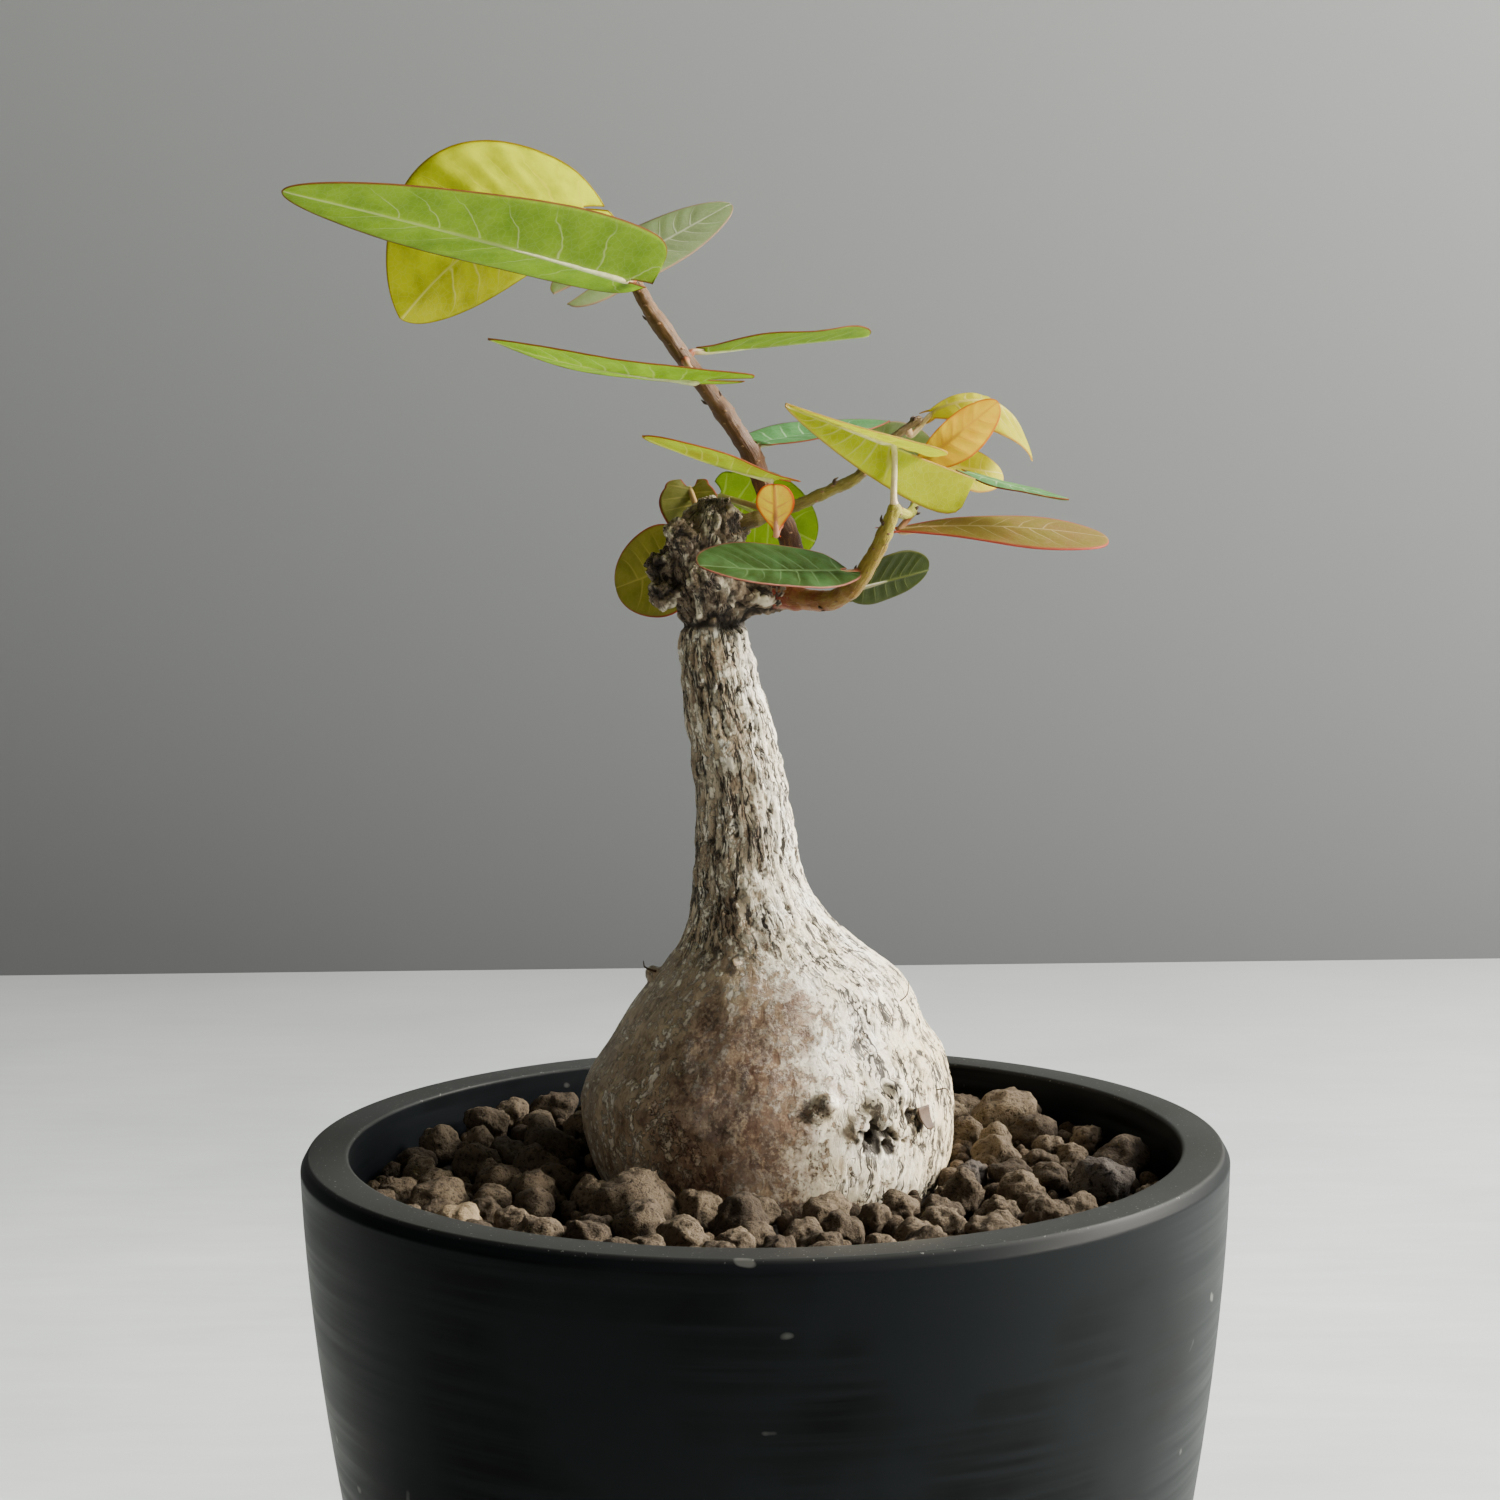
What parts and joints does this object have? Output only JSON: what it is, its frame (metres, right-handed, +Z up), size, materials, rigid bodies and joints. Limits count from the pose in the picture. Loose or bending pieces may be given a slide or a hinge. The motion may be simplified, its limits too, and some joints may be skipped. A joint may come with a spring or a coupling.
{
  "type": "potted caudex plant",
  "caption": "Potted caudex plant: a bottle-shaped woody base with a knobbly cut stump, young leafy shoots and a bed of coarse gravel in a round tapered pot.",
  "frame": {"origin": "middle of the pot's flat underside", "axes": "+Z up along the pot's axis, +Y away from the side the picture was taken from, +X to the right in the picture"},
  "size_m": [0.105, 0.105, 0.1973],
  "materials": {
    "pot_plastic": "satin black, finely streaked round the side",
    "grit": "dry, porous, grey-brown",
    "bark": "papery, fissured, cream to purple-brown bark",
    "shoot_bark": "young red-brown bark with scars",
    "leaf_green": "thin, satin, lets light through",
    "leaf_deep_green": "thin, satin, bluish top side",
    "leaf_yellow": "thin, satin, lets light through",
    "leaf_sage": "thin, satin, pale",
    "leaf_orange": "thin, satin, withering",
    "leaf_olive": "thin, satin, dark with a red margin",
    "leaf_pink": "thin, satin, young and reddish"
  },
  "bodies": {
    "root": {"pot": "pot_plastic", "gravel": "grit", "caudex": "bark", "shoot_tall": "shoot_bark", "shoot_middle": "shoot_bark", "shoot_low": "shoot_bark", "leaf_tall_1": "leaf_green", "leaf_tall_2": "leaf_yellow", "leaf_tall_3": "leaf_sage", "leaf_tall_4": "leaf_green", "leaf_tall_5": "leaf_green", "leaf_tall_6": "leaf_green", "leaf_tall_7": "leaf_deep_green", "leaf_tall_8": "leaf_orange", "leaf_stump_1": "leaf_olive", "leaf_stump_2": "leaf_olive", "leaf_middle_1": "leaf_green", "leaf_middle_2": "leaf_sage", "leaf_middle_3": "leaf_yellow", "leaf_low_1": "leaf_deep_green", "leaf_low_2": "leaf_olive", "leaf_low_3": "leaf_pink", "leaf_low_4": "leaf_yellow", "leaf_low_5": "leaf_orange", "leaf_low_6": "leaf_yellow", "leaf_low_7": "leaf_deep_green"}
  },
  "joints": []
}
